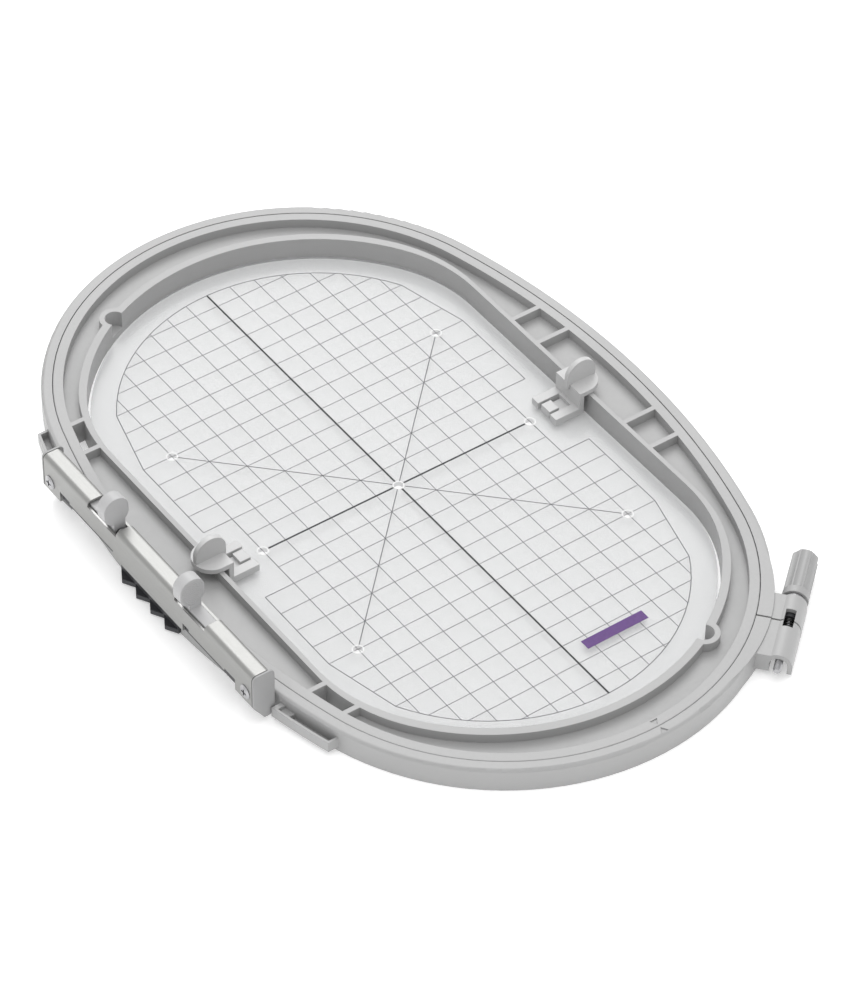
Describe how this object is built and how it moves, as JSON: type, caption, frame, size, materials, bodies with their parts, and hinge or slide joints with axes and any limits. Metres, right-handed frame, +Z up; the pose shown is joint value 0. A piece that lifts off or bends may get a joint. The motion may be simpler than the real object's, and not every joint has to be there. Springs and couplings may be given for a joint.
{
  "type": "embroidery hoop",
  "caption": "Large oval embroidery hoop: split outer hoop with clamp screw and sprung arm connector, lift-out inner hoop and clear grid template.",
  "frame": {"origin": "centre of the middle marking hole of the template, on the plane the hoop rests on", "axes": "+X along the long axis towards the clamp screw, +Y away from the machine connector, +Z up"},
  "size_m": [0.3196, 0.2188, 0.0363],
  "materials": {
    "grey_plastic": "fine satin moulding grain",
    "dark_plastic": "matt",
    "pale_cover": "smooth satin coat on bent sheet",
    "cap_plastic": "fine satin moulding grain",
    "lever_plastic": "fine satin moulding grain, ribbed grip face",
    "knob_plastic": "fine satin moulding grain",
    "steel": "turned and plated",
    "spring_steel": "drawn wire and strip",
    "black_steel": "blackened",
    "clear_plastic": "clear, polished, slightly milky"
  },
  "bodies": {
    "outer_hoop": {"outer_hoop": "grey_plastic", "coding_comb": "dark_plastic", "connector_cover": "pale_cover", "connector_end_cap_left": "cap_plastic", "connector_end_cap_right": "cap_plastic", "connector_screws": "steel", "connector_beam": "dark_plastic", "lever_spring_left": "spring_steel", "lever_spring_right": "spring_steel", "clamp_nut": "black_steel", "clamp_collar": "dark_plastic", "clamp_spring": "black_steel"},
    "lever_left": {"lever_left": "lever_plastic", "latch_left": "spring_steel"},
    "lever_right": {"lever_right": "lever_plastic", "latch_right": "spring_steel"},
    "clamp_washer": {"clamp_washer": "steel"},
    "clamp_knob": {"clamp_knob": "knob_plastic", "clamp_bolt": "steel"},
    "inner_hoop": {"inner_hoop": "grey_plastic"},
    "template": {"template_plate": "clear_plastic", "template_clip_front": "grey_plastic", "template_clip_rear": "grey_plastic"}
  },
  "joints": [
    {"name": "inner_hoop_lift", "type": "slide", "parent": "outer_hoop", "child": "inner_hoop", "axis": [0, 0, 1], "range_m": [0, 0.03]},
    {"name": "template_lift", "type": "slide", "parent": "inner_hoop", "child": "template", "axis": [0, 0, 1], "range_m": [0, 0.03]},
    {"name": "lever_left_squeeze", "type": "slide", "parent": "outer_hoop", "child": "lever_left", "axis": [1, 0, 0], "range_m": [0, 0.003], "stiffness_N_per_m": 800, "springref_m": -0.004},
    {"name": "lever_right_squeeze", "type": "slide", "parent": "outer_hoop", "child": "lever_right", "axis": [-1, 0, 0], "range_m": [0, 0.003], "stiffness_N_per_m": 800, "springref_m": -0.004},
    {"name": "clamp_screw_advance", "type": "slide", "parent": "outer_hoop", "child": "clamp_washer", "axis": [-0.6534, 0.757, 0], "range_m": [0, 0.0025]},
    {"name": "clamp_screw_turn", "type": "hinge", "parent": "clamp_washer", "child": "clamp_knob", "pos_m": [0.13195, 0.07966, 0.0055], "axis": [-0.6534, 0.757, 0], "range_deg": [0, 1800]}
  ],
  "couplings": [
    {"joint": "clamp_screw_turn", "follows": "clamp_screw_advance", "rad_per_m": 12566}
  ]
}
